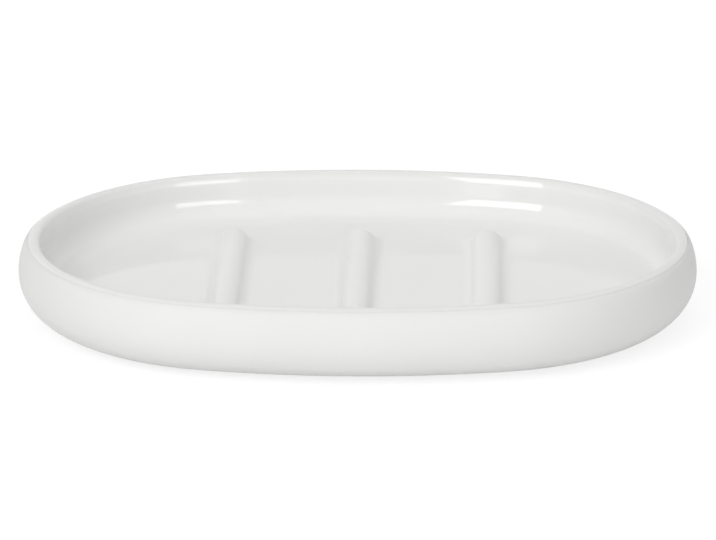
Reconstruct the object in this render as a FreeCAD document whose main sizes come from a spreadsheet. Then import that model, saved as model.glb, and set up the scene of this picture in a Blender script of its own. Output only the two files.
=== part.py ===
import FreeCAD, Part
import math
import os
import Sketcher

# Oval ceramic soap dish: one cast and glazed body standing on four soft feet glued under it.
# Millimetres. +X runs along the dish, +Y to its back, +Z up, and the feet stand on z = 0.

# Driving dimensions: name, value, meaning.
SIZES = (
    ("dish_length", 140.0, "over the widest line, along X"),
    ("dish_width", 100.0, "over the widest line, along Y"),
    ("side_radius", 150.0, "plan radius of the long sides, at the widest line"),
    ("bulge_height", 9.1, "from the foot to the widest line, and the radius of the wall's rolled-under part"),
    ("rim_setback", 0.8, "how far the rim leans in from the widest line"),
    ("rim_outer_radius", 2.6, "of the rim's round, from the flank up to its crest"),
    ("rim_inner_radius", 1.2, "of the rim's round, from its crest in to the shoulder"),
    ("shoulder_radius", 3.2, "between the rim's round and the inner wall"),
    ("shoulder_width", 1.45, "from the rim's crest in to the inner wall"),
    ("basin_depth", 9.3, "from the rim's crest down to the basin floor"),
    ("floor_fillet", 4.5, "radius at the foot of the inner wall"),
    ("floor_blend_radius", 30.0, "of the slack arc between that fillet and the basin floor"),
    ("floor_blend_width", 4.0, "of that arc, along the floor"),
    ("floor_thickness", 5.3, "from the underside recess to the basin floor"),
    ("recess_depth", 1.2, "of the underside recess within the foot ring"),
    ("foot_ring_width", 5.0, "flat width of the foot ring"),
    ("foot_edge_round", 0.4, "radius on the foot ring's inner edge and in the recess corner"),
    ("rib_count", 3, "ribs that hold the soap off the floor"),
    ("rib_pitch", 26.7, "from rib to rib, along X"),
    ("rib_end_gap", 16.75, "from a rib's end to the inner wall, at the middle of the dish"),
    ("rib_radius", 3.4, "of a rib's rounded crest and domed ends"),
    ("rib_height", 2.8, "of a rib's crest above the basin floor"),
    ("rib_fillet", 2.8, "radius between a rib and the basin floor"),
    ("pad_diameter", 10.0, "of a soft foot"),
    ("pad_lift", 0.6, "how far the feet hold the foot ring off the surface"),
    ("pad_edge_round", 0.4, "radius on a foot's lower edge"),
    ("pad_gap", 4.0, "from a foot to the foot ring"),
    ("pad_angle", 55.0, "degrees from X to a foot, seen from its end arc's centre"),
)

# Sizes worked out from those above: name, formula.
DERIVED = (
    ("half_length", "dish_length / 2"),
    ("half_width", "dish_width / 2"),
    # The plan is an oval of four arcs. The end arcs touch the ends and run smoothly into the side arcs.
    ("end_radius", "(half_length^2 + half_width^2 - 2 * half_width * side_radius)"
                   " / (2 * (half_length - side_radius))"),
    ("end_centre", "half_length - end_radius"),
    ("side_centre", "side_radius - half_width"),
    ("end_sweep", "2 * atan(side_centre / end_centre)"),
    ("side_sweep", "180 deg - end_sweep"),
    # Heights above the surface that the dish stands on.
    ("recess_top", "pad_lift + recess_depth"),
    ("floor_top", "recess_top + floor_thickness"),
    ("crest", "floor_top + basin_depth"),
    ("bulge_line", "pad_lift + bulge_height"),
    ("rib_axis", "floor_top + rib_height - rib_radius"),
    # Distances in from the widest line.
    ("crest_inset", "rim_setback + rim_outer_radius"),
    ("wall_inset", "crest_inset + shoulder_width"),
    ("foot_inset", "bulge_height + foot_ring_width"),
    # Places of the ribs and the feet.
    ("rib_half_length", "half_width - wall_inset - rib_end_gap"),
    ("rib_dome_centre", "rib_half_length - rib_radius"),
    ("rib_span", "(rib_count - 1) * rib_pitch"),
    ("pad_radius", "pad_diameter / 2"),
    ("pad_reach", "end_radius - foot_inset - pad_gap - pad_radius"),
    ("pad_x", "end_centre + pad_reach * cos(pad_angle * 1 deg)"),
    ("pad_y", "pad_reach * sin(pad_angle * 1 deg)"),
)

TOLERANCE = 1e-4
START, END, CENTRE = 1, 2, 3
ORIGIN = (-1, START)
Y_LINE = -2

doc = FreeCAD.newDocument("soap_dish")
sheet = doc.addObject("Spreadsheet::Sheet", "sizes")


def fill_sheet():
    """One row per size: its name and meaning, then its value under its alias."""
    rows = [(name, f"{name}: {meaning}", str(value)) for name, value, meaning in SIZES]
    rows += [(name, f"{name}: worked out", f"={formula}") for name, formula in DERIVED]
    for row, (name, label, content) in enumerate(rows, start=1):
        sheet.set(f"A{row}", label)
        sheet.set(f"B{row}", content)
        sheet.setAlias(f"B{row}", name)
    doc.recompute()


def size(name):
    """A size's value, as a number of millimetres or degrees."""
    value = sheet.get(name)
    return float(getattr(value, "Value", value))


def origin_part(body, role):
    """The body's own plane or axis with this role."""
    return next(item for item in body.Origin.OriginFeatures if item.Role == role)


def new_sketch(body, role, name):
    """An empty sketch on one of the body's origin planes."""
    sketch = body.newObject("Sketcher::SketchObject", name)
    sketch.AttachmentSupport = [(origin_part(body, role), "")]
    sketch.MapMode = "FlatFace"
    return sketch


def line(start, end):
    return Part.LineSegment(FreeCAD.Vector(*start, 0), FreeCAD.Vector(*end, 0))


def arc(centre, radius, first, last):
    """An arc drawn anticlockwise from the first angle to the last, in degrees."""
    circle = Part.Circle(FreeCAD.Vector(*centre, 0), FreeCAD.Vector(0, 0, 1), radius)
    return Part.ArcOfCircle(circle, math.radians(first), math.radians(last))


def relate(sketch, kind, *ends):
    sketch.addConstraint(Sketcher.Constraint(kind, *ends))


def measure(sketch, name, kind, *ends):
    """A dimension of the sketch that follows the size of this name."""
    index = sketch.addConstraint(Sketcher.Constraint(kind, *ends, size(name)))
    sketch.renameConstraint(index, name)
    sketch.setExpression(f"Constraints.{name}", f"sizes.{name}")


def join_corners(sketch, *lines):
    """Each line starts where the one before it ends."""
    for first, second in zip(lines, lines[1:]):
        relate(sketch, "Coincident", first, END, second, START)


def wall_section(body, role, name, reach, plan_radius, floor_ends_at_axis):
    """Section of wall, rim, floor and foot ring, and the axis that this stretch is turned about."""
    sketch = new_sketch(body, role, name)
    out = size(reach)
    axis_at = out - size(plan_radius)
    floor_end = axis_at if floor_ends_at_axis else 0.0
    crest_at, wall_at, ring_at = (out - size(inset) for inset in ("crest_inset", "wall_inset", "foot_inset"))
    roll, fillet, blend = size("bulge_height"), size("floor_fillet"), size("floor_blend_radius")
    outer, inner, shoulder = size("rim_outer_radius"), size("rim_inner_radius"), size("shoulder_radius")
    foot, recess, floor = size("pad_lift"), size("recess_top"), size("floor_top")
    bulge, crest = size("bulge_line"), size("crest")
    # The flank's arc leaves the widest line upright and ends where it touches the rim's round.
    rise, lean = crest - outer - bulge, size("crest_inset")
    flank = (rise**2 + lean**2 - outer**2) / (2 * (lean - outer))
    touch = math.degrees(math.atan2(rise, flank - lean))
    # The shoulder's arc leaves the rim's round and ends upright on the inner wall.
    turn = math.acos((shoulder - size("shoulder_width")) / (shoulder - inner))
    shoulder_mid = crest - inner - (shoulder - inner) * math.sin(turn)
    turn_end = 180 - math.degrees(turn)
    # The fillet's arc ends at a slight slope, which the blend's arc brings down to the level floor.
    slope = math.asin(size("floor_blend_width") / blend)
    slope_end = 270 + math.degrees(slope)
    fillet_mid = floor + blend - (blend - fillet) * math.cos(slope)
    blend_at = wall_at - fillet - (blend - fillet) * math.sin(slope)
    roll_arc, flank_arc, outer_arc, inner_arc, shoulder_arc, wall_line, fillet_arc, blend_arc, \
        floor_line, inner_line, recess_line, step_line, foot_line, axis = sketch.addGeometry([
            arc((out - roll, bulge), roll, 270, 360),
            arc((out - flank, bulge), flank, 0, touch),
            arc((crest_at, crest - outer), outer, touch, 90),
            arc((crest_at, crest - inner), inner, 90, turn_end),
            arc((wall_at + shoulder, shoulder_mid), shoulder, turn_end, 180),
            line((wall_at, shoulder_mid), (wall_at, fillet_mid)),
            arc((wall_at - fillet, fillet_mid), fillet, slope_end, 360),
            arc((blend_at, floor + blend), blend, 270, slope_end),
            line((blend_at, floor), (floor_end, floor)),
            line((floor_end, floor), (floor_end, recess)),
            line((floor_end, recess), (ring_at, recess)),
            line((ring_at, recess), (ring_at, foot)),
            line((ring_at, foot), (out - roll, foot)),
            line((axis_at, foot), (axis_at, crest))])
    sketch.toggleConstruction(axis)
    relate(sketch, "Tangent", roll_arc, END, flank_arc, START)
    relate(sketch, "Tangent", flank_arc, END, outer_arc, START)
    relate(sketch, "Tangent", outer_arc, END, inner_arc, START)
    relate(sketch, "Tangent", inner_arc, END, shoulder_arc, START)
    relate(sketch, "Tangent", shoulder_arc, END, wall_line, START)
    relate(sketch, "Tangent", wall_line, END, fillet_arc, END)
    relate(sketch, "Tangent", fillet_arc, START, blend_arc, END)
    relate(sketch, "Tangent", blend_arc, START, floor_line, START)
    relate(sketch, "Tangent", foot_line, END, roll_arc, START)
    join_corners(sketch, floor_line, inner_line, recess_line, step_line, foot_line)
    for level in (floor_line, recess_line, foot_line):
        relate(sketch, "Horizontal", level)
    for upright in (wall_line, inner_line, step_line, axis):
        relate(sketch, "Vertical", upright)
    relate(sketch, "Horizontal", roll_arc, CENTRE, flank_arc, CENTRE)
    relate(sketch, "Horizontal", axis, START, roll_arc, START)
    relate(sketch, "Horizontal", axis, END, outer_arc, END)
    relate(sketch, "Vertical", outer_arc, CENTRE, outer_arc, END)
    relate(sketch, "PointOnObject", inner_line, START, axis if floor_ends_at_axis else Y_LINE)
    measure(sketch, "bulge_height", "Radius", roll_arc)
    measure(sketch, "rim_outer_radius", "Radius", outer_arc)
    measure(sketch, "rim_inner_radius", "Radius", inner_arc)
    measure(sketch, "shoulder_radius", "Radius", shoulder_arc)
    measure(sketch, "floor_fillet", "Radius", fillet_arc)
    measure(sketch, "floor_blend_radius", "Radius", blend_arc)
    measure(sketch, "floor_blend_width", "DistanceX", blend_arc, START, blend_arc, END)
    measure(sketch, reach, "DistanceX", *ORIGIN, roll_arc, END)
    measure(sketch, plan_radius, "DistanceX", axis, START, roll_arc, END)
    measure(sketch, "crest_inset", "DistanceX", outer_arc, END, roll_arc, END)
    measure(sketch, "wall_inset", "DistanceX", wall_line, START, roll_arc, END)
    measure(sketch, "foot_inset", "DistanceX", step_line, END, roll_arc, END)
    measure(sketch, "pad_lift", "DistanceY", *ORIGIN, foot_line, START)
    measure(sketch, "recess_top", "DistanceY", *ORIGIN, recess_line, START)
    measure(sketch, "floor_top", "DistanceY", *ORIGIN, floor_line, START)
    measure(sketch, "crest", "DistanceY", *ORIGIN, outer_arc, END)
    return sketch


def turned(body, sketch, name, axis, sweep=None):
    """The sketch turned about an axis of its own: all round, or half a named sweep to each side."""
    feature = body.newObject("PartDesign::Revolution", name)
    feature.Profile = sketch
    feature.ReferenceAxis = (sketch, [axis])
    feature.Angle = 360
    if sweep:
        feature.Midplane = True
        feature.setExpression("Angle", f"sizes.{sweep}")
    doc.recompute()
    return feature


def mirrored(body, feature, role, name):
    """The feature and its mirror image in one of the body's origin planes."""
    mirror = body.newObject("PartDesign::Mirrored", name)
    mirror.Originals = [feature]
    mirror.MirrorPlane = (origin_part(body, role), [""])
    body.Tip = mirror
    doc.recompute()


def rounded(body, name, radius, wanted):
    """A fillet on every edge of the body's last feature that is wanted."""
    base = body.Tip
    edges = [f"Edge{number}" for number, edge in enumerate(base.Shape.Edges, start=1) if wanted(edge)]
    fillet = body.newObject("PartDesign::Fillet", name)
    fillet.Base = (base, edges)
    fillet.setExpression("Radius", f"sizes.{radius}")
    body.Tip = fillet
    doc.recompute()


def level_at(edge, height):
    box = edge.BoundBox
    return max(abs(box.ZMin - height), abs(box.ZMax - height)) < TOLERANCE


def turn_walls(body):
    """Four stretches of wall and floor, each turned about the centre of its own plan arc."""
    side = wall_section(body, "YZ_Plane", "side_section", "half_width", "side_radius", False)
    back = turned(body, side, "back_stretch", "Axis0", "side_sweep")
    mirrored(body, back, "XZ_Plane", "front_stretch")
    end = wall_section(body, "XZ_Plane", "end_section", "half_length", "end_radius", True)
    right = turned(body, end, "right_stretch", "Axis0", "end_sweep")
    mirrored(body, right, "YZ_Plane", "left_stretch")


def raise_ribs(body):
    """Ribs with rounded crests and domed ends across the basin, blended into its floor."""
    sketch = new_sketch(body, "XY_Plane", "rib_section")
    sketch.setExpression("AttachmentOffset.Base.x", "-sizes.rib_span / 2")
    sketch.setExpression("AttachmentOffset.Base.z", "sizes.rib_axis")
    radius, tip, dome = size("rib_radius"), size("rib_half_length"), size("rib_dome_centre")
    axis_line, front_arc, side_line, back_arc = sketch.addGeometry([
        line((0, tip), (0, -tip)),
        arc((0, -dome), radius, 270, 360),
        line((radius, -dome), (radius, dome)),
        arc((0, dome), radius, 0, 90)])
    relate(sketch, "Coincident", axis_line, END, front_arc, START)
    relate(sketch, "Tangent", front_arc, END, side_line, START)
    relate(sketch, "Tangent", side_line, END, back_arc, START)
    relate(sketch, "Coincident", back_arc, END, axis_line, START)
    relate(sketch, "Symmetric", axis_line, START, axis_line, END, *ORIGIN)
    relate(sketch, "PointOnObject", front_arc, CENTRE, Y_LINE)
    relate(sketch, "PointOnObject", back_arc, CENTRE, Y_LINE)
    relate(sketch, "Vertical", side_line)
    measure(sketch, "rib_radius", "Radius", front_arc)
    measure(sketch, "rib_dome_centre", "DistanceY", *ORIGIN, back_arc, CENTRE)
    rib = turned(body, sketch, "rib", "V_Axis")
    ribs = body.newObject("PartDesign::LinearPattern", "ribs")
    ribs.Originals = [rib]
    ribs.Direction = (origin_part(body, "X_Axis"), [""])
    ribs.setExpression("Length", "sizes.rib_span")
    ribs.setExpression("Occurrences", "sizes.rib_count")
    body.Tip = ribs
    doc.recompute()
    floor, reach = size("floor_top"), size("rib_half_length") + TOLERANCE
    rounded(body, "rib_fillets", "rib_fillet",
            lambda edge: level_at(edge, floor) and max(-edge.BoundBox.YMin, edge.BoundBox.YMax) < reach)


def soften_foot(body):
    """The foot ring's inner edge and the corner of the recess that it surrounds."""
    inner_radii = [size(name) - size("foot_inset") for name in ("end_radius", "side_radius")]
    heights = (size("pad_lift"), size("recess_top"))

    def on_ring(edge):
        return (any(level_at(edge, height) for height in heights)
                and any(abs(edge.Curve.Radius - radius) < TOLERANCE for radius in inner_radii))

    rounded(body, "foot_rounds", "foot_edge_round", on_ring)


def dish_body():
    body = doc.addObject("PartDesign::Body", "dish_body")
    turn_walls(body)
    raise_ribs(body)
    soften_foot(body)
    return body


def foot_pad(name, x_sign, y_sign):
    """A soft round foot, from the surface up to the recess under the dish."""
    body = doc.addObject("PartDesign::Body", name)
    sketch = new_sketch(body, "XZ_Plane", f"{name}_section")
    radius, edge, top = size("pad_radius"), size("pad_edge_round"), size("recess_top")
    base_line, edge_arc, side_line, top_line, axis_line = sketch.addGeometry([
        line((0, 0), (radius - edge, 0)),
        arc((radius - edge, edge), edge, 270, 360),
        line((radius, edge), (radius, top)),
        line((radius, top), (0, top)),
        line((0, top), (0, 0))])
    relate(sketch, "Coincident", base_line, START, *ORIGIN)
    relate(sketch, "Tangent", base_line, END, edge_arc, START)
    relate(sketch, "Tangent", edge_arc, END, side_line, START)
    join_corners(sketch, side_line, top_line, axis_line, base_line)
    for level in (base_line, top_line):
        relate(sketch, "Horizontal", level)
    for upright in (side_line, axis_line):
        relate(sketch, "Vertical", upright)
    measure(sketch, "pad_edge_round", "Radius", edge_arc)
    measure(sketch, "pad_radius", "DistanceX", *ORIGIN, side_line, START)
    measure(sketch, "recess_top", "DistanceY", *ORIGIN, top_line, START)
    turned(body, sketch, f"{name}_round", "V_Axis")
    body.setExpression("Placement.Base.x", f"{x_sign} * sizes.pad_x")
    body.setExpression("Placement.Base.y", f"{y_sign} * sizes.pad_y")
    return body


def check_and_write(pieces):
    """Stops on a failed feature or a bad solid, then writes each piece under its own name."""
    doc.recompute()
    for item in doc.Objects:
        if "Invalid" in item.State or "Error" in item.State:
            raise RuntimeError(f"{item.Label} failed: {item.State}")
    for piece in pieces:
        if piece.Shape.isNull() or not piece.Shape.isValid() or len(piece.Shape.Solids) != 1:
            raise RuntimeError(f"{piece.Label} is not one valid solid")
    os.makedirs("parts", exist_ok=True)
    for piece in pieces:
        piece.Shape.exportStep(f"parts/{piece.Label}.step")
        print(f"{piece.Label}: {piece.Shape.Volume:.0f} mm3")


fill_sheet()
parts = [dish_body()]
for depth, y_side in (("front", -1), ("rear", 1)):
    for hand, x_side in (("left", -1), ("right", 1)):
        parts.append(foot_pad(f"foot_pad_{depth}_{hand}", x_side, y_side))
check_and_write(parts)
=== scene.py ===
# %% [markdown]
# An oval soap dish in white ceramic, dressed around its CAD model.
# The real dish is one casting: a low bulging wall that rolls in under the bottom, a round rim with a soft
# inner shoulder, a basin with three soft ribs, and a foot ring that stands on four small silicone feet.
# It could be sculpted by eye, but the CAD model already fixes every size. So that is loaded first,
# and the whole lesson works in its frame, in metres.

# %% Load the CAD frame
import bpy
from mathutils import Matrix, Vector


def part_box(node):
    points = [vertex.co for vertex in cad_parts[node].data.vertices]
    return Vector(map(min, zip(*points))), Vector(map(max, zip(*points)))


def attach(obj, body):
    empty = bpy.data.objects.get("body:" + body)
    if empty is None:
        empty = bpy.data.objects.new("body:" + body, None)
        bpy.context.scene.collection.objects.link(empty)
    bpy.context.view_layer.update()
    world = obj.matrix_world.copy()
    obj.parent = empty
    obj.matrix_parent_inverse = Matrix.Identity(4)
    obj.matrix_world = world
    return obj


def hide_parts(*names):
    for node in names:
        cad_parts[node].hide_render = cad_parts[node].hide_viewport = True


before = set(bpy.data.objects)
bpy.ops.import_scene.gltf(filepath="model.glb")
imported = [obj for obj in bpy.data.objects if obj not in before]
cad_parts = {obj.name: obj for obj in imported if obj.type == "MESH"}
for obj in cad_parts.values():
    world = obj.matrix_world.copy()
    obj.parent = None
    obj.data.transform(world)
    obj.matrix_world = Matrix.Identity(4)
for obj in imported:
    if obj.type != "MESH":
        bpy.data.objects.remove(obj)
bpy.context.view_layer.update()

import bpy
import math
from mathutils import Quaternion, Vector

print("nodes:", sorted(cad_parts))

# %% [markdown]
# The camera comes first, because every later choice is judged through it.
# A catalogue photograph like this one is taken with a long lens from far away, so the dish hardly tapers.
# The angles could be nudged by eye. They were found by laying the CAD model's outline over the photograph,
# which is surer at such a low view. The two small shifts place the dish in the frame as it is there.

# %% Camera at the photograph's angle
VIEW_AZIMUTH = math.radians(1.39)
VIEW_ELEVATION = math.radians(18.07)
VIEW_ROLL = math.radians(-0.12)
VIEW_DISTANCE = 1.142
LENS_MM = 277.8
LOOK_AT = Vector((0, 0, 0.008))
LOOK_RIGHT, LOOK_UP = 0.00011, 0.00105


def towards(azimuth, elevation):
    """Unit vector from the dish to a place seen at these angles; azimuth 0 is the front."""
    level = math.cos(elevation)
    return Vector((math.sin(azimuth) * level, -math.cos(azimuth) * level, math.sin(elevation)))


def facing(direction):
    """Rotation of a camera or lamp that stands in this direction and looks back at the dish."""
    return (-direction).to_track_quat("-Z", "Y")


bpy.ops.object.select_all(action="DESELECT")
camera_way = towards(VIEW_AZIMUTH, VIEW_ELEVATION)
camera_turn = facing(camera_way)
centre = LOOK_AT + camera_turn @ Vector((LOOK_RIGHT, LOOK_UP, 0))
camera_turn = camera_turn @ Quaternion((0, 0, 1), VIEW_ROLL)
bpy.ops.object.camera_add(location=centre + camera_way * VIEW_DISTANCE, rotation=camera_turn.to_euler())
camera = bpy.context.object
camera.data.lens = LENS_MM
bpy.context.scene.camera = camera
bpy.context.scene.view_settings.view_transform = "Standard"
print("camera at", [round(value, 4) for value in camera.location])

# %% [markdown]
# Seen from above the dish is an oval of four arcs: two round ends and two slack sides that meet smoothly.
# A scaled circle would be simpler, but its ends would be too pointed and its wall would change in thickness.
# The outside sizes are read from the CAD node, so the mesh can't drift from it.
# The radii are the same numbers that the CAD sketch uses, written here in millimetres.

# %% Sizes of the dish
MM = 0.001
dish_low, dish_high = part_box("dish_body")
HALF_LENGTH, HALF_WIDTH = dish_high.x, dish_high.y
FOOT, CREST = dish_low.z, dish_high.z
SIDE_RADIUS = 150 * MM
END_RADIUS = ((HALF_LENGTH**2 + HALF_WIDTH**2 - 2 * HALF_WIDTH * SIDE_RADIUS)
              / (2 * (HALF_LENGTH - SIDE_RADIUS)))
END_CENTRE = HALF_LENGTH - END_RADIUS
SIDE_CENTRE = SIDE_RADIUS - HALF_WIDTH
END_SWEEP = 2 * math.atan2(SIDE_CENTRE, END_CENTRE)
SIDE_SWEEP = math.pi - END_SWEEP
print(f"ends {END_RADIUS / MM:.2f} mm radius over {math.degrees(END_SWEEP):.1f} degrees")

# %% [markdown]
# A cast wall is the same all the way round, so it is best drawn as a section and then swept, as a potter's
# template is. Points could be typed in one by one, but straights and arcs stay true and are easy to change.
# A section starts as one vertex. Extruding it draws a straight, and spinning it about a centre draws an arc.
# The section stands on the XZ plane at the right-hand end, with the outside of the dish towards +X.
# With no window, Spin turns clockwise about its axis, so an arc about +Y runs anticlockwise as we look at it.

# %% Tools for drawing a section
def start_section(name, x, z):
    """A new mesh of one vertex on the XZ plane, left in edit mode."""
    bpy.ops.object.select_all(action="DESELECT")
    bpy.ops.mesh.primitive_plane_add(size=MM, location=(x, 0, z))
    piece = bpy.context.object
    piece.name = name
    bpy.ops.object.transform_apply(location=True, rotation=False, scale=False)
    bpy.ops.object.mode_set(mode="EDIT")
    bpy.ops.mesh.select_mode(type="VERT")
    bpy.ops.mesh.select_all(action="SELECT")
    bpy.ops.mesh.merge(type="CENTER")
    return piece


def draw_straight(across, up, steps=1):
    """Extend the section by a straight stretch."""
    step = (across / steps, 0, up / steps)
    for _ in range(steps):
        bpy.ops.mesh.extrude_vertices_move(TRANSFORM_OT_translate={"value": step})


def draw_arc(x, z, angle, steps):
    """Extend the section by an arc about a centre, anticlockwise for a positive angle."""
    bpy.ops.mesh.spin(steps=steps, angle=angle, center=(x, 0, z), axis=(0, 1, 0))


# %% [markdown]
# A curve with a bevel object could carry the section round the oval, but it only comes close to the arcs.
# So the sweep takes one spin for each plan arc, each about its own centre, which keeps every arc exact.
# It starts in the middle of the right-hand end, so that end is spun in two halves, first and last.
# The last section falls on the first one, and merging by distance closes the ring.

# %% Tools for sweeping a section round the oval
OVERLAP = 0.005 * MM
END_STEPS, SIDE_STEPS = 40, 28
SWEEPS = (
    ((END_CENTRE, 0, 0), END_SWEEP / 2, END_STEPS),
    ((0, -SIDE_CENTRE, 0), SIDE_SWEEP, SIDE_STEPS),
    ((-END_CENTRE, 0, 0), END_SWEEP, 2 * END_STEPS),
    ((0, SIDE_CENTRE, 0), SIDE_SWEEP, SIDE_STEPS),
    ((END_CENTRE, 0, 0), END_SWEEP / 2, END_STEPS),
)


def close_seams():
    """Merge the vertices that fall on each other, in edit mode."""
    bpy.ops.mesh.select_all(action="SELECT")
    bpy.ops.mesh.remove_doubles(threshold=OVERLAP)


def sweep_round(piece):
    """Carry the drawn section once round the oval and leave edit mode."""
    bpy.ops.mesh.select_all(action="SELECT")
    for about, angle, steps in SWEEPS:
        bpy.ops.mesh.spin(steps=steps, angle=angle, center=about, axis=(0, 0, -1))
    close_seams()
    bpy.ops.object.mode_set(mode="OBJECT")
    print(piece.name, "has", len(piece.data.polygons), "faces")


# %% [markdown]
# The outside is what the hand holds: it runs from the recess under the dish over the foot ring, up the
# rolled-in wall and the bulging flank, to the rim. The matt coat ends a little outside the rim's crest,
# where the shiny glaze begins, so this section stops there and each finish gets a shell of its own.
# The roll and the flank could be one free curve. Two arcs that meet upright at the widest line are as smooth,
# and they can be measured.

# %% Section of the outside
ROLL = 9.1 * MM
RIM_SETBACK = 0.8 * MM
RIM_OUTER = 2.6 * MM
RECESS_DEPTH = 1.2 * MM
FOOT_RING = 5.0 * MM
FOOT_ROUND = 0.4 * MM
MARGIN = 1.5 * MM
GLAZE_EDGE = math.radians(56)
LINE_WIDTH, LINE_DEPTH = 0.24 * MM, 0.06 * MM
FOOT_ROUND_STEPS, FOOT_RING_STEPS = 6, 4
ROLL_STEPS, FLANK_STEPS, RIM_STEPS = 28, 12, 6

BULGE_LINE = FOOT + ROLL
CREST_INSET = RIM_SETBACK + RIM_OUTER
RIM_X, RIM_Z = HALF_LENGTH - CREST_INSET, CREST - RIM_OUTER
RISE = RIM_Z - BULGE_LINE
FLANK = (RISE**2 + CREST_INSET**2 - RIM_OUTER**2) / (2 * RIM_SETBACK)
TOUCH = math.atan2(RISE, FLANK - CREST_INSET)
HALF_LINE = LINE_WIDTH / 2 / RIM_OUTER
RING_X = HALF_LENGTH - ROLL - FOOT_RING
RECESS = FOOT + RECESS_DEPTH
QUARTER = math.pi / 2

outside = start_section("dish_outside", RING_X - FOOT_ROUND - MARGIN, RECESS)
draw_straight(MARGIN, 0)
draw_arc(RING_X - FOOT_ROUND, RECESS - FOOT_ROUND, -QUARTER, FOOT_ROUND_STEPS)
draw_straight(0, 2 * FOOT_ROUND - RECESS_DEPTH)
draw_arc(RING_X + FOOT_ROUND, FOOT + FOOT_ROUND, QUARTER, FOOT_ROUND_STEPS)
draw_straight(FOOT_RING - FOOT_ROUND, 0, FOOT_RING_STEPS)
draw_arc(HALF_LENGTH - ROLL, BULGE_LINE, QUARTER, ROLL_STEPS)
draw_arc(HALF_LENGTH - FLANK, BULGE_LINE, TOUCH, FLANK_STEPS)
draw_arc(RIM_X, RIM_Z, GLAZE_EDGE - HALF_LINE - TOUCH, RIM_STEPS)
sweep_round(outside)

# %% [markdown]
# A cast dish is hollowed a little underneath, so that it stands on a ring and can't rock on a warped base.
# After the sweep that recess is still open in the middle. Its edge lies level, so one flat face closes it,
# which is lighter than a grid and just as flat.
# Open edges belong to one face only. They are picked by that and by their height.

# %% Close the recess under the dish
LEVEL = 0.01 * MM


def pick_open_edges(piece, height):
    """Enter edit mode with only the piece's open edges at this height selected."""
    uses = {}
    for face in piece.data.polygons:
        for key in face.edge_keys:
            uses[key] = uses.get(key, 0) + 1
    points = piece.data.vertices
    bpy.ops.object.select_all(action="DESELECT")
    piece.select_set(True)
    bpy.context.view_layer.objects.active = piece
    bpy.ops.object.mode_set(mode="EDIT")
    bpy.ops.mesh.select_mode(type="EDGE")
    bpy.ops.mesh.select_all(action="DESELECT")
    bpy.ops.object.mode_set(mode="OBJECT")
    for edge in piece.data.edges:
        level = all(abs(points[end].co.z - height) < LEVEL for end in edge.vertices)
        edge.select = level and uses.get(edge.key) == 1
    bpy.ops.object.mode_set(mode="EDIT")


pick_open_edges(outside, RECESS)
bpy.ops.mesh.edge_face_add()
bpy.ops.object.mode_set(mode="OBJECT")
print("outside closed below with", len(outside.data.polygons), "faces")

# %% [markdown]
# The thin line along the rim is where the shiny glaze stops short of the matt coat and the bare body shows.
# It could be painted as a stripe in the material, but it is a real step in the surface and catches the light.
# So it is a shallow groove, swept like the rest.

# %% Section of the groove at the glaze's edge
groove_start, groove_end = GLAZE_EDGE - HALF_LINE, GLAZE_EDGE + HALF_LINE


def on_rim(angle, radius):
    """A point of the section at this angle about the rim's centre."""
    return RIM_X + radius * math.cos(angle), RIM_Z + radius * math.sin(angle)


groove_points = [on_rim(groove_start, RIM_OUTER), on_rim(GLAZE_EDGE, RIM_OUTER - LINE_DEPTH),
                 on_rim(groove_end, RIM_OUTER)]
groove = start_section("dish_glaze_line", *groove_points[0])
for before, after in zip(groove_points, groove_points[1:]):
    draw_straight(after[0] - before[0], after[1] - before[1])
sweep_round(groove)

# %% [markdown]
# The inside runs from the groove over the rim's crest and a soft shoulder, down the upright inner wall,
# round a fillet and along a slack blend to the basin floor. Glaze flows into such hollows, and their curves
# carry the long bright highlights. One bevel on a sharp edge couldn't give a tight fillet that ends in
# a slack blend, so each is an arc that leaves the one before it without a kink.
# The section goes on a little way across the floor, so the shading of the flat floor stays level.

# %% Section of the inside
RIM_INNER = 1.2 * MM
SHOULDER = 3.2 * MM
SHOULDER_WIDTH = 1.45 * MM
FILLET = 4.5 * MM
BLEND, BLEND_WIDTH = 30.0 * MM, 4.0 * MM
BASIN_DEPTH = 9.3 * MM
CREST_STEPS, RIM_INNER_STEPS, SHOULDER_STEPS = 10, 12, 10
WALL_STEPS, FILLET_STEPS, BLEND_STEPS, MARGIN_STEPS = 4, 26, 8, 2

BASIN = CREST - BASIN_DEPTH
WALL_INSET = CREST_INSET + SHOULDER_WIDTH
WALL_X = HALF_LENGTH - WALL_INSET
SHOULDER_TURN = math.acos((SHOULDER - SHOULDER_WIDTH) / (SHOULDER - RIM_INNER))
SHOULDER_Z = CREST - RIM_INNER - (SHOULDER - RIM_INNER) * math.sin(SHOULDER_TURN)
BLEND_TURN = math.asin(BLEND_WIDTH / BLEND)
BLEND_X = WALL_X - FILLET - (BLEND - FILLET) * math.sin(BLEND_TURN)
FILLET_Z = BASIN + BLEND - (BLEND - FILLET) * math.cos(BLEND_TURN)

inside = start_section("dish_inside", *on_rim(groove_end, RIM_OUTER))
draw_arc(RIM_X, RIM_Z, QUARTER - groove_end, CREST_STEPS)
draw_arc(RIM_X, CREST - RIM_INNER, QUARTER - SHOULDER_TURN, RIM_INNER_STEPS)
draw_arc(WALL_X + SHOULDER, SHOULDER_Z, SHOULDER_TURN, SHOULDER_STEPS)
draw_straight(0, FILLET_Z - SHOULDER_Z, WALL_STEPS)
draw_arc(WALL_X - FILLET, FILLET_Z, BLEND_TURN - QUARTER, FILLET_STEPS)
draw_arc(BLEND_X, BASIN + BLEND, -BLEND_TURN, BLEND_STEPS)
draw_straight(-MARGIN, 0, MARGIN_STEPS)
sweep_round(inside)

# %% [markdown]
# Three ribs hold the soap off the wet floor. Each is a round crest with domed ends that melts into the floor.
# A stretched ball could be sunk into the floor, but then a hard line would show where the two meet.
# So the crest and the fillet are two arcs that touch. First comes where they touch, and where the domes turn.

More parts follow.
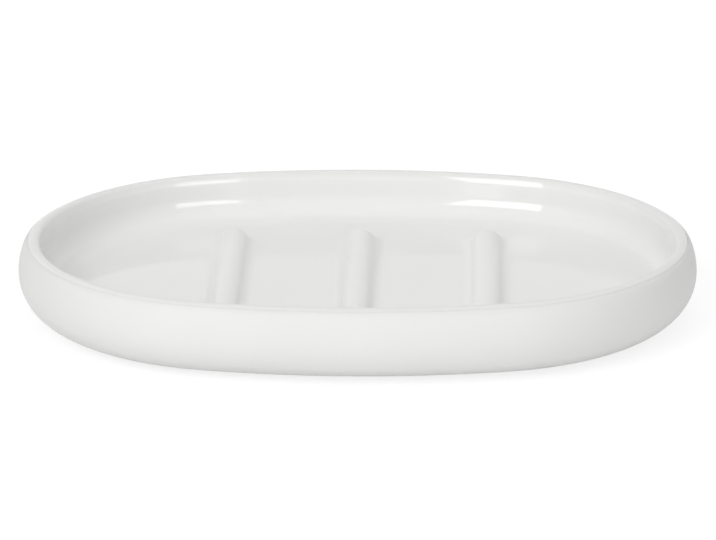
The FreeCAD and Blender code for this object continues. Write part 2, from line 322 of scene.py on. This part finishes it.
# %% Sizes of a rib
RIB_RADIUS, RIB_HEIGHT, RIB_FILLET = 3.4 * MM, 2.8 * MM, 2.8 * MM
RIB_END_GAP = 16.75 * MM
RIB_PITCH = 26.7 * MM
RIB_MARGIN = 1.0 * MM

rib_axis = BASIN + RIB_HEIGHT - RIB_RADIUS
fillet_up = BASIN + RIB_FILLET - rib_axis
fillet_out = math.sqrt((RIB_RADIUS + RIB_FILLET) ** 2 - fillet_up**2)
slope = math.atan2(fillet_out, fillet_up)
dome_y = HALF_WIDTH - WALL_INSET - RIB_END_GAP - RIB_RADIUS
print(f"crest and fillet touch at {math.degrees(slope):.1f} degrees, domes turn {dome_y / MM:.2f} mm out")

# %% [markdown]
# Half of the rib's section is drawn once, from the top of the crest out to the floor. It is spun half a turn
# about an upright axis for the front dome, extruded along the rib, spun again for the rear dome and extruded
# back. That is how one would go round it by hand, and it leaves no seam along the crest.

# %% One rib
RIB_CREST_STEPS, RIB_FILLET_STEPS = 32, 28
RIB_STEPS = 24
DOME_STEPS = 72


def extrude_along(distance):
    """Extrude the selected section along the rib in even steps."""
    step = (0, distance / RIB_STEPS, 0)
    for _ in range(RIB_STEPS):
        bpy.ops.mesh.extrude_edges_move(TRANSFORM_OT_translate={"value": step})


rib = start_section("rib_middle", 0, BASIN + RIB_HEIGHT)
draw_arc(0, rib_axis, -slope, RIB_CREST_STEPS)
draw_arc(fillet_out, rib_axis + fillet_up, slope, RIB_FILLET_STEPS)
draw_straight(RIB_MARGIN, 0, MARGIN_STEPS)
bpy.ops.mesh.select_all(action="SELECT")
bpy.ops.transform.translate(value=(0, -dome_y, 0))
bpy.ops.mesh.spin(steps=DOME_STEPS, angle=math.pi, center=(0, -dome_y, 0), axis=(0, 0, 1))
extrude_along(2 * dome_y)
bpy.ops.mesh.spin(steps=DOME_STEPS, angle=math.pi, center=(0, dome_y, 0), axis=(0, 0, 1))
extrude_along(-2 * dome_y)
close_seams()
bpy.ops.object.mode_set(mode="OBJECT")
print("rib", [round(value / MM, 2) for value in rib.dimensions], "mm,", len(rib.data.polygons), "faces")

# %% [markdown]
# The ribs are alike, so the first is copied to both sides, each copy with its own mesh. Ribs and basin are
# one casting, so the three join the inside. A Boolean could merge them with a floor, but it leaves ragged
# faces. Here the floor is still a gap with three ribs in it. All the edges of the gap lie at one height,
# and Fill lays triangles between the outer edge and the ribs in one go.

# %% Three ribs and the basin floor
ribs = [rib]
for side, name in ((-1, "rib_left"), (1, "rib_right")):
    bpy.ops.object.select_all(action="DESELECT")
    rib.select_set(True)
    bpy.context.view_layer.objects.active = rib
    bpy.ops.object.duplicate()
    copy = bpy.context.object
    copy.name = name
    bpy.ops.transform.translate(value=(side * RIB_PITCH, 0, 0))
    bpy.ops.object.transform_apply(location=True, rotation=False, scale=False)
    ribs.append(copy)


def join_into(main, others):
    """Join pieces into the first one."""
    bpy.ops.object.select_all(action="DESELECT")
    for other in others:
        other.select_set(True)
    main.select_set(True)
    bpy.context.view_layer.objects.active = main
    bpy.ops.object.join()


join_into(inside, ribs)
pick_open_edges(inside, BASIN)
bpy.ops.mesh.fill(use_beauty=True)
bpy.ops.object.mode_set(mode="OBJECT")
print("inside with ribs and floor:", len(inside.data.polygons), "faces")

# %% [markdown]
# Every finish below is made of shader nodes, so it has no edge or seam and stays sharp at any size.
# One small function adds a node, sets it and links it, and one turns the sRGB hex colours that we see on
# a screen into the linear values that the shader needs. Its constants are those of the sRGB standard.

# %% Tools for materials
SRGB_KNEE, SRGB_SLOPE = 0.04045, 12.92
SRGB_LIFT, SRGB_POWER = 0.055, 2.4
HEX_PAIRS, HEX_FULL = (1, 3, 5), 0xFF


def linear(code):
    """Linear RGBA of an sRGB hex colour."""
    channels = []
    for at in HEX_PAIRS:
        value = int(code[at:at + 2], 16) / HEX_FULL
        if value <= SRGB_KNEE:
            channels.append(value / SRGB_SLOPE)
        else:
            channels.append(((value + SRGB_LIFT) / (1 + SRGB_LIFT)) ** SRGB_POWER)
    return channels + [1]


def add_node(tree, kind, sockets=None, **settings):
    """Add a node with these settings; a socket takes a value or the output that feeds it."""
    node = tree.nodes.new(kind)
    for name, value in settings.items():
        setattr(node, name, value)
    for key, value in (sockets or {}).items():
        if isinstance(value, bpy.types.NodeSocket):
            tree.links.new(value, node.inputs[key])
        else:
            node.inputs[key].default_value = value
    return node


def new_material(name):
    """A material with an empty node tree, and that tree."""
    material = bpy.data.materials.new(name)
    material.use_nodes = True
    material.node_tree.nodes.clear()
    return material, material.node_tree


# %% [markdown]
# Gloss glaze: a clear glass about half a millimetre thick over a white body, poured on and fired.
# It gives the eye crisp window-like highlights over a clean white. A wide pattern makes it a touch thicker
# and whiter in some places than in others. Over the crest the colour is painted a little greyer. That is
# painted shade, which dims the brightly lit rim top, and in part stands for the glaze running thinner off the
# rim as it melts.
# A painted map could hold this, but noise and height do it with no seam.

# %% Colour of the gloss glaze
GLAZE_SHADE, GLAZE_WHITE, GLAZE_CREST_SHADE = "#E6E6E5", "#EBEBEA", "#E2E2E1"
GLAZE_CLOUD, GLAZE_CLOUD_DETAIL = 35 * MM, 2
CREST_SHADE_FROM, CREST_SHADE_FULL = 1.6 * MM, 0.45 * MM
# The two colours that a colour Mix node takes in, and the one that it gives out
MIX_A, MIX_B, MIX_RESULT = 6, 7, 2

glaze, tree = new_material("gloss_white_glaze")
place = add_node(tree, "ShaderNodeTexCoord").outputs["Object"]
clouds = add_node(tree, "ShaderNodeTexNoise", {
    "Vector": place, "Scale": 1 / GLAZE_CLOUD, "Detail": GLAZE_CLOUD_DETAIL})
tone = add_node(tree, "ShaderNodeMix", {
    0: clouds.outputs["Fac"], MIX_A: linear(GLAZE_SHADE), MIX_B: linear(GLAZE_WHITE)}, data_type="RGBA")
height = add_node(tree, "ShaderNodeSeparateXYZ", {0: place}).outputs["Z"]
# Painted shade: the colour greys towards the crest, where the rim top catches the most light.
crest_shade = add_node(tree, "ShaderNodeMapRange", {
    "Value": height, "From Min": CREST - CREST_SHADE_FROM, "From Max": CREST - CREST_SHADE_FULL},
    interpolation_type="SMOOTHSTEP")
tone = add_node(tree, "ShaderNodeMix", {
    0: crest_shade.outputs["Result"], MIX_A: tone.outputs[MIX_RESULT], MIX_B: linear(GLAZE_CREST_SHADE)},
    data_type="RGBA")
# How far below the crest the painted shade starts, and where it is full.
print(f"glaze thins from {CREST_SHADE_FROM / MM:.2f} to {CREST_SHADE_FULL / MM:.2f} mm below the crest")

# %% [markdown]
# Fired glaze is smooth, with specks finer than any pixel. Seen along the surface, where Fresnel makes the
# mirror image strong, they blur part of it. White noise gives each point its own chance of being a speck.
# One even roughness would be simpler, but the renderer's noise filter then takes each glossy edge for
# a drawn line.

# %% Gloss of the glaze and its specks
GLAZE_SMOOTH, GLAZE_DULL = 0.015, 0.035
GLAZE_IOR = 1.5
SPECKS_FROM, SPECKS_MOST = 0.20, 0.80
SPECK_ROUGHNESS = 0.30

gloss = add_node(tree, "ShaderNodeMapRange", {
    "Value": clouds.outputs["Fac"], "To Min": GLAZE_SMOOTH, "To Max": GLAZE_DULL})
mirror = add_node(tree, "ShaderNodeFresnel", {"IOR": GLAZE_IOR}).outputs[0]
clear = add_node(tree, "ShaderNodeMath", {0: SPECKS_FROM * SPECKS_MOST, 1: mirror}, operation="DIVIDE")
share = add_node(tree, "ShaderNodeMath", {0: SPECKS_MOST, 1: clear.outputs[0]}, operation="SUBTRACT")
chance = add_node(tree, "ShaderNodeTexWhiteNoise", {"Vector": place}).outputs["Value"]
speck = add_node(tree, "ShaderNodeMath", {0: chance, 1: share.outputs[0]}, operation="LESS_THAN")
dull = add_node(tree, "ShaderNodeMath", {0: speck.outputs[0], 1: SPECK_ROUGHNESS}, operation="MULTIPLY")
speckled = add_node(tree, "ShaderNodeMath", {0: gloss.outputs["Result"], 1: dull.outputs[0]},
                    operation="MAXIMUM")
print("specks show where more than", SPECKS_FROM, "of the light is mirrored")

# %% [markdown]
# The highlights swim a little, because the glaze settled in soft waves about 14 mm long and a few thousandths
# of a millimetre high. Modelled waves would need a far finer mesh, so a bump tilts the shading instead.

# %% Waves in the glaze, and its shader
GLAZE_WAVE, GLAZE_WAVE_DETAIL = 14 * MM, 1
GLAZE_WAVE_HEIGHT, GLAZE_WAVE_STRENGTH = 0.004 * MM, 1

waves = add_node(tree, "ShaderNodeTexNoise", {
    "Vector": place, "Scale": 1 / GLAZE_WAVE, "Detail": GLAZE_WAVE_DETAIL})
swell = add_node(tree, "ShaderNodeBump", {
    "Height": waves.outputs["Fac"], "Strength": GLAZE_WAVE_STRENGTH, "Distance": GLAZE_WAVE_HEIGHT})
shader = add_node(tree, "ShaderNodeBsdfPrincipled", {
    "Base Color": tone.outputs[MIX_RESULT], "Roughness": speckled.outputs[0],
    "Normal": swell.outputs["Normal"], "IOR": GLAZE_IOR})
add_node(tree, "ShaderNodeOutputMaterial", {"Surface": shader.outputs["BSDF"]})
print("made", glaze.name)

# %% [markdown]
# Matt coat: the outside is sprayed with a satin-matt glaze, fine as an eggshell.
# It gives the eye a soft, even white with no mirror image, only the faintest sheen, and a very fine grain.
# Roughness alone would look like plastic, so the grain also tilts the surface by a bump.
# The real grain is about a tenth of a millimetre. It is drawn at 0.45 mm, so that it can show at all.

# %% Matt coat
COAT_SHADE, COAT_WHITE = "#DBDBDA", "#E1E1E0"
COAT_GRAIN, COAT_CLOUD = 0.45 * MM, 22 * MM
COAT_GRAIN_DETAIL, COAT_CLOUD_DETAIL = 2, 3
COAT_GRAIN_HEIGHT, COAT_GRAIN_STRENGTH = 0.006 * MM, 0.6
COAT_SMOOTH, COAT_DULL = 0.70, 0.84

coat, tree = new_material("satin_matt_white_glaze")
place = add_node(tree, "ShaderNodeTexCoord").outputs["Object"]
grain = add_node(tree, "ShaderNodeTexNoise", {
    "Vector": place, "Scale": 1 / COAT_GRAIN, "Detail": COAT_GRAIN_DETAIL})
clouds = add_node(tree, "ShaderNodeTexNoise", {
    "Vector": place, "Scale": 1 / COAT_CLOUD, "Detail": COAT_CLOUD_DETAIL})
tone = add_node(tree, "ShaderNodeMix", {
    0: clouds.outputs["Fac"], MIX_A: linear(COAT_SHADE), MIX_B: linear(COAT_WHITE)}, data_type="RGBA")
gloss = add_node(tree, "ShaderNodeMapRange", {
    "Value": grain.outputs["Fac"], "To Min": COAT_SMOOTH, "To Max": COAT_DULL})
tooth = add_node(tree, "ShaderNodeBump", {
    "Height": grain.outputs["Fac"], "Strength": COAT_GRAIN_STRENGTH, "Distance": COAT_GRAIN_HEIGHT})
shader = add_node(tree, "ShaderNodeBsdfPrincipled", {
    "Base Color": tone.outputs[MIX_RESULT], "Roughness": gloss.outputs["Result"],
    "Normal": tooth.outputs["Normal"], "IOR": GLAZE_IOR})
add_node(tree, "ShaderNodeOutputMaterial", {"Surface": shader.outputs["BSDF"]})
print("made", coat.name)

# %% [markdown]
# Bare stoneware: the fired body where no glaze covers it, along the line at the rim and on the foot ring.
# The foot ring is wiped clean before firing, or the glaze would stick the dish to the kiln shelf.
# It gives the eye a dry, slightly grey white with tiny pores about 0.6 mm apart.
# One noise makes the pores both darker and deeper, so the colour is darker where the surface dips.

# %% Bare stoneware
PORE_SHADE, BODY_WHITE = "#CFCECB", "#E1E0DD"
PORE_SPACING = 0.6 * MM
PORE_DETAIL = 3
PORE_DEPTH, PORE_STRENGTH = 0.02 * MM, 0.5
STONEWARE_ROUGHNESS, STONEWARE_IOR = 0.85, 1.5

bare, tree = new_material("bare_white_stoneware")
place = add_node(tree, "ShaderNodeTexCoord").outputs["Object"]
pores = add_node(tree, "ShaderNodeTexNoise", {
    "Vector": place, "Scale": 1 / PORE_SPACING, "Detail": PORE_DETAIL})
tone = add_node(tree, "ShaderNodeMix", {
    0: pores.outputs["Fac"], MIX_A: linear(PORE_SHADE), MIX_B: linear(BODY_WHITE)}, data_type="RGBA")
pits = add_node(tree, "ShaderNodeBump", {
    "Height": pores.outputs["Fac"], "Strength": PORE_STRENGTH, "Distance": PORE_DEPTH})
shader = add_node(tree, "ShaderNodeBsdfPrincipled", {
    "Base Color": tone.outputs[MIX_RESULT], "Roughness": STONEWARE_ROUGHNESS,
    "Normal": pits.outputs["Normal"], "IOR": STONEWARE_IOR})
add_node(tree, "ShaderNodeOutputMaterial", {"Surface": shader.outputs["BSDF"]})
print("made", bare.name)

# %% [markdown]
# The three swept shells get their finishes while they are still apart, which is simpler than picking
# faces later. Joined and merged they are one closed skin, as the real dish is one casting.
# The flat of the foot ring is picked by its height and its downward normal, and left bare.

# %% Join the dish
DOWN = -0.9

for shell, finish in ((outside, coat), (groove, bare), (inside, glaze)):
    shell.data.materials.append(finish)
join_into(outside, [groove, inside])
dish = outside
dish.name = "dish_ceramic"
bpy.ops.object.mode_set(mode="EDIT")
close_seams()
bpy.ops.mesh.normals_make_consistent(inside=False)
bpy.ops.object.mode_set(mode="OBJECT")
bare_index = dish.data.materials.find(bare.name)
for face in dish.data.polygons:
    if face.normal.z < DOWN and face.center.z < FOOT + LEVEL:
        face.material_index = bare_index
bpy.ops.object.shade_smooth()
print("dish", [round(value / MM, 2) for value in dish.dimensions], "mm,", len(dish.data.polygons), "faces")
print("finishes:", [material.name for material in dish.data.materials])
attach(dish, "root")
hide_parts("dish_body")

# %% [markdown]
# Four soft feet keep the foot ring off the shelf. Each is a small silicone button, cut from sheet and glued
# into the recess. A section could be spun for it, but a cylinder is a button already: it is added at its size
# and place, where the CAD has its first foot, and the edge that it stands on is bevelled round.

# %% One soft foot
PAD_ROUND = 0.4 * MM
PAD_SIDES = 64
PAD_ROUND_STEPS = 5
PAD_CREASE = math.radians(40)
PAD_NODES = ("foot_pad_front_left", "foot_pad_front_right", "foot_pad_rear_left", "foot_pad_rear_right")


def middle_of(node):
    """Middle of a node's box."""
    low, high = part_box(node)
    return (low + high) / 2


first_low, first_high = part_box(PAD_NODES[0])
bpy.ops.object.select_all(action="DESELECT")
bpy.ops.mesh.primitive_cylinder_add(
    vertices=PAD_SIDES, radius=(first_high.x - first_low.x) / 2, depth=first_high.z - first_low.z,
    location=middle_of(PAD_NODES[0]))
pad = bpy.context.object
pad.name = "silicone_foot_front_left"
bpy.ops.object.transform_apply(location=True, rotation=False, scale=False)
bpy.ops.object.mode_set(mode="EDIT")
bpy.ops.mesh.select_mode(type="FACE")
bpy.ops.mesh.select_all(action="DESELECT")
bpy.ops.object.mode_set(mode="OBJECT")
for face in pad.data.polygons:
    face.select = face.normal.z < DOWN
bpy.ops.object.mode_set(mode="EDIT")
bpy.ops.mesh.bevel(offset=PAD_ROUND, segments=PAD_ROUND_STEPS, affect="EDGES")
bpy.ops.object.mode_set(mode="OBJECT")
bpy.ops.object.shade_smooth_by_angle(angle=PAD_CREASE)
print("foot", [round(value / MM, 2) for value in pad.dimensions], "mm")

# %% [markdown]
# The feet are punched from one sheet and all alike. Each could be modelled anew, or they could share one
# mesh. They are copies with meshes of their own, moved to where the CAD has them, so that each is a piece
# by itself.

# %% The other three feet
pads = [pad]
for node in PAD_NODES[1:]:
    bpy.ops.object.select_all(action="DESELECT")
    pad.select_set(True)
    bpy.context.view_layer.objects.active = pad
    bpy.ops.object.duplicate()
    copy = bpy.context.object
    copy.name = node.replace("foot_pad", "silicone_foot")
    bpy.ops.transform.translate(value=middle_of(node) - middle_of(PAD_NODES[0]))
    bpy.ops.object.transform_apply(location=True, rotation=False, scale=False)
    pads.append(copy)
print("feet:", [piece.name for piece in pads])

# %% [markdown]
# Silicone rubber: a milky sheet that was moulded against a matt tool.
# It gives the eye a soft, waxy grey-white with no sharp highlight, and a little dust that clings to it.
# Light could be let into it with subsurface scattering, but on so thin a foot, in the shade under the dish,
# that wouldn't show. So a plain shader with a cloudy colour does.

# %% Silicone rubber
SILICONE_DUSTY, SILICONE_CLEAN = "#CFCFCB", "#DEDEDA"
TOOL_GRAIN, DUST_CLOUD = 0.3 * MM, 3 * MM
TOOL_GRAIN_DETAIL, DUST_DETAIL = 2, 3
TOOL_GRAIN_HEIGHT, TOOL_GRAIN_STRENGTH = 0.01 * MM, 0.5
SILICONE_ROUGHNESS, SILICONE_IOR = 0.55, 1.41

silicone, tree = new_material("milky_silicone_rubber")
place = add_node(tree, "ShaderNodeTexCoord").outputs["Object"]
grain = add_node(tree, "ShaderNodeTexNoise", {
    "Vector": place, "Scale": 1 / TOOL_GRAIN, "Detail": TOOL_GRAIN_DETAIL})
dust = add_node(tree, "ShaderNodeTexNoise", {
    "Vector": place, "Scale": 1 / DUST_CLOUD, "Detail": DUST_DETAIL})
tone = add_node(tree, "ShaderNodeMix", {
    0: dust.outputs["Fac"], MIX_A: linear(SILICONE_DUSTY), MIX_B: linear(SILICONE_CLEAN)}, data_type="RGBA")
tooth = add_node(tree, "ShaderNodeBump", {
    "Height": grain.outputs["Fac"], "Strength": TOOL_GRAIN_STRENGTH, "Distance": TOOL_GRAIN_HEIGHT})
shader = add_node(tree, "ShaderNodeBsdfPrincipled", {
    "Base Color": tone.outputs[MIX_RESULT], "Roughness": SILICONE_ROUGHNESS, "IOR": SILICONE_IOR,
    "Normal": tooth.outputs["Normal"]})
add_node(tree, "ShaderNodeOutputMaterial", {"Surface": shader.outputs["BSDF"]})
for piece, node in zip(pads, PAD_NODES):
    piece.data.materials.append(silicone)
    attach(piece, "root")
    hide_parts(node)
print("made", silicone.name)

# %% [markdown]
# Around the dish all is white, as in a catalogue. More light could make it so, but it would wash out
# the dish. So what the camera sees, directly or mirrored in the glaze, is told apart from what only carries
# light round. The Light Path node knows which ray is asking.

# %% Tool for rays that are seen
def shown_rays(tree):
    """1 for rays from the camera and for mirrored ones, 0 for rays that only carry light round."""
    ray = add_node(tree, "ShaderNodeLightPath").outputs
    mirrored = add_node(tree, "ShaderNodeMath", {0: ray["Is Glossy Ray"], 1: ray["Is Transmission Ray"]},
                        operation="MAXIMUM")
    shown = add_node(tree, "ShaderNodeMath", {0: ray["Is Camera Ray"], 1: mirrored.outputs[0]},
                     operation="MAXIMUM")
    return shown.outputs[0]


# %% [markdown]
# The dish stands on white paper over a light table. The paper scatters the lamps' light up under the bulge,
# and the table shines through it a little, so the shade there stays soft.
# To the rays that are seen, most of the paper's white is its own glow, and a soft shadow still shows on it.

# %% White paper floor
FLOOR_SIZE = 6.0
PAPER_SHADE, PAPER_WHITE, PAPER_SEEN = "#F0F0F0", "#F4F4F4", "#929292"
WHITE = "#FFFFFF"
PAPER_FIBRE, PAPER_FIBRE_DETAIL = 1.5 * MM, 2
PAPER_GLOW = 0.78
TABLE_GLOW = 0.06

bpy.ops.object.select_all(action="DESELECT")
bpy.ops.mesh.primitive_plane_add(size=FLOOR_SIZE, location=(0, 0, 0))
floor = bpy.context.object
floor.name = "paper_floor"
paper, tree = new_material("white_paper")
place = add_node(tree, "ShaderNodeTexCoord").outputs["Object"]
fibre = add_node(tree, "ShaderNodeTexNoise", {
    "Vector": place, "Scale": 1 / PAPER_FIBRE, "Detail": PAPER_FIBRE_DETAIL})
tone = add_node(tree, "ShaderNodeMix", {
    0: fibre.outputs["Fac"], MIX_A: linear(PAPER_SHADE), MIX_B: linear(PAPER_WHITE)}, data_type="RGBA")
scatter = add_node(tree, "ShaderNodeBsdfDiffuse", {"Color": tone.outputs[MIX_RESULT]})
table = add_node(tree, "ShaderNodeEmission", {"Color": linear(WHITE), "Strength": TABLE_GLOW})
lit = add_node(tree, "ShaderNodeAddShader", {0: scatter.outputs[0], 1: table.outputs[0]})
thin = add_node(tree, "ShaderNodeBsdfDiffuse", {"Color": linear(PAPER_SEEN)})
glow = add_node(tree, "ShaderNodeEmission", {"Color": linear(WHITE), "Strength": PAPER_GLOW})
seen = add_node(tree, "ShaderNodeAddShader", {0: thin.outputs[0], 1: glow.outputs[0]})
both = add_node(tree, "ShaderNodeMixShader", {0: shown_rays(tree), 1: lit.outputs[0], 2: seen.outputs[0]})
add_node(tree, "ShaderNodeOutputMaterial", {"Surface": both.outputs[0]})
floor.data.materials.append(paper)
print("floor", FLOOR_SIZE, "m wide")

# %% [markdown]
# The room is a plain white studio. Its walls could be modelled, but a plain world colour is quicker and even.
# Seen by the camera or mirrored in the glaze it is full white. The light that it throws on the dish is
# weaker, so that the lamps can shape the bulge.

# %% White studio
AMBIENT, FULL = 0.39, 1.0
world = bpy.data.worlds.new("white_studio")
bpy.context.scene.world = world
world.use_nodes = True
tree = world.node_tree
tree.nodes.clear()
level = add_node(tree, "ShaderNodeMapRange", {"Value": shown_rays(tree), "To Min": AMBIENT, "To Max": FULL})
sky = add_node(tree, "ShaderNodeBackground", {"Color": linear(WHITE), "Strength": level.outputs["Result"]})
add_node(tree, "ShaderNodeOutputWorld", {"Surface": sky.outputs[0]})
print("studio lights the dish at", AMBIENT)

# %% [markdown]
# A softbox is a lamp behind a white sheet. An area lamp of the sheet's size gives the same soft light.
# Its power is worked out from how bright the sheet looks, so that a larger sheet doesn't look dimmer.
# A lamp either lights the dish or is seen mirrored in its glaze, for a reason that the next step gives.

# %% Tool for hanging a softbox
def hang_softbox(name, azimuth, elevation, distance, width, height, brightness, mirrored=False):
    """A rectangular softbox that faces the dish, as bright as a white sheet of this strength."""
    way = towards(math.radians(azimuth), math.radians(elevation))
    bpy.ops.object.light_add(type="AREA", location=way * distance, rotation=facing(way).to_euler())
    lamp = bpy.context.object
    lamp.name = name
    lamp.data.shape = "RECTANGLE"
    lamp.data.size = width
    lamp.data.size_y = height
    lamp.data.energy = math.pi * width * height * brightness
    lamp.visible_glossy = mirrored
    lamp.visible_diffuse = not mirrored
    print(name, "at", [round(value, 2) for value in lamp.location])


# %% [markdown]
# Two tall softboxes stand in front of the dish, and the glaze mirrors them as bright patches along the back
# wall. Each could be one lamp, but how it lights the dish and how bright it looks in the glaze are matched
# apart. So each is hung twice: a box that throws the light, and a face that is only seen mirrored.
# The face hangs a centimetre nearer, so that the box doesn't hide it.
# Four fills, which aren't mirrored, soften the shade. The left one is the strongest, so the right-hand end
# of the dish is a little darker. Angles are in degrees and lengths in metres.

# %% Hang the softboxes
LEFT_BOX = {"azimuth": -30, "elevation": 19, "width": 0.58, "height": 0.90}
RIGHT_BOX = {"azimuth": 30.5, "elevation": 13, "width": 0.58, "height": 0.67}
BOX_AWAY, FACE_AWAY = 1.3, 1.29
CEILING = {"width": 1.2, "height": 1.2, "distance": 1.5}
FILL = {"width": 0.8, "height": 0.8, "distance": 1.5}

hang_softbox("softbox_left", **LEFT_BOX, distance=BOX_AWAY, brightness=2.27)
hang_softbox("softbox_right", **RIGHT_BOX, distance=BOX_AWAY, brightness=2.5)
hang_softbox("face_left", **LEFT_BOX, distance=FACE_AWAY, brightness=5.0, mirrored=True)
hang_softbox("face_right", **RIGHT_BOX, distance=FACE_AWAY, brightness=3.8, mirrored=True)
hang_softbox("fill_above", **CEILING, azimuth=0, elevation=90, brightness=0.87)
hang_softbox("fill_left", **FILL, azimuth=-45, elevation=40, brightness=3.07)
hang_softbox("fill_right", **FILL, azimuth=90, elevation=45, brightness=0.6)
hang_softbox("fill_behind", **FILL, azimuth=180, elevation=50, brightness=0.94)

# %% [markdown]
# Where we look along the basin's wall, the glossy wall mirrors itself over and over.
# Left alone, the light path is cut after four mirror bounces, and a dark spot shows at the right-hand end.
# A duller glaze would hide the spot, but the highlights with it. A real bowl has no such limit,
# so the light may bounce on for longer.

# %% Mirror bounces along the wall
MIRROR_BOUNCES = 24

bpy.context.scene.cycles.max_bounces = MIRROR_BOUNCES
bpy.context.scene.cycles.glossy_bounces = MIRROR_BOUNCES
print("mirror bounces:", MIRROR_BOUNCES)
